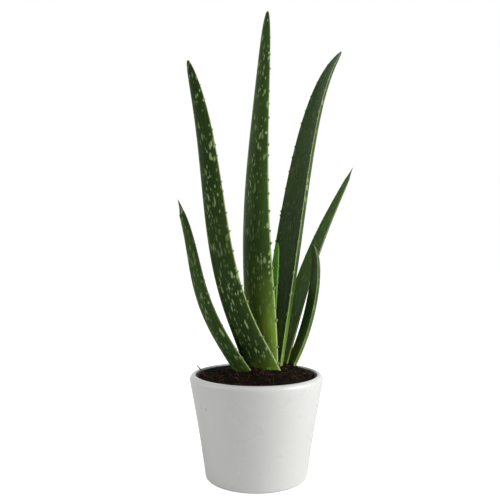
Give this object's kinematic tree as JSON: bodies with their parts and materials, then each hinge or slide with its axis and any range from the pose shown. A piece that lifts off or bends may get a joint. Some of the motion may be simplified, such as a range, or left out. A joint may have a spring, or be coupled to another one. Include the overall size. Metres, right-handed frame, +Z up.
{
  "type": "potted aloe plant",
  "caption": "Young aloe with upright fleshy toothed leaves, rooted in soil in a nursery pot that stands in a tapered glazed pot.",
  "frame": {"origin": "centre of the glazed pot's flat underside, on the surface that it stands on", "axes": "+Z up along the pot's axis, +X to the side that the tall right leaf leans to, +Y towards the back"},
  "size_m": [0.1905, 0.1605, 0.474],
  "materials": {
    "glaze": "white satin glaze",
    "black_plastic": "thin black nursery plastic",
    "soil": "loose dark peat and bark",
    "stem": "pale green living stem",
    "leaf": "waxy green leaf with pale oblong spots",
    "young_leaf": "waxy bright green young leaf",
    "twig": "dry bark and root fibre"
  },
  "bodies": {
    "root": {"pot": "glaze", "grow_pot": "black_plastic", "soil": "soil", "stem": "stem", "leaf_left_low": "leaf", "leaf_left_tall": "leaf", "leaf_centre": "leaf", "leaf_right_tall": "leaf", "leaf_right_rear": "leaf", "leaf_right_front": "leaf", "leaf_young": "young_leaf", "twig": "twig", "root_fibre": "twig"}
  },
  "joints": []
}
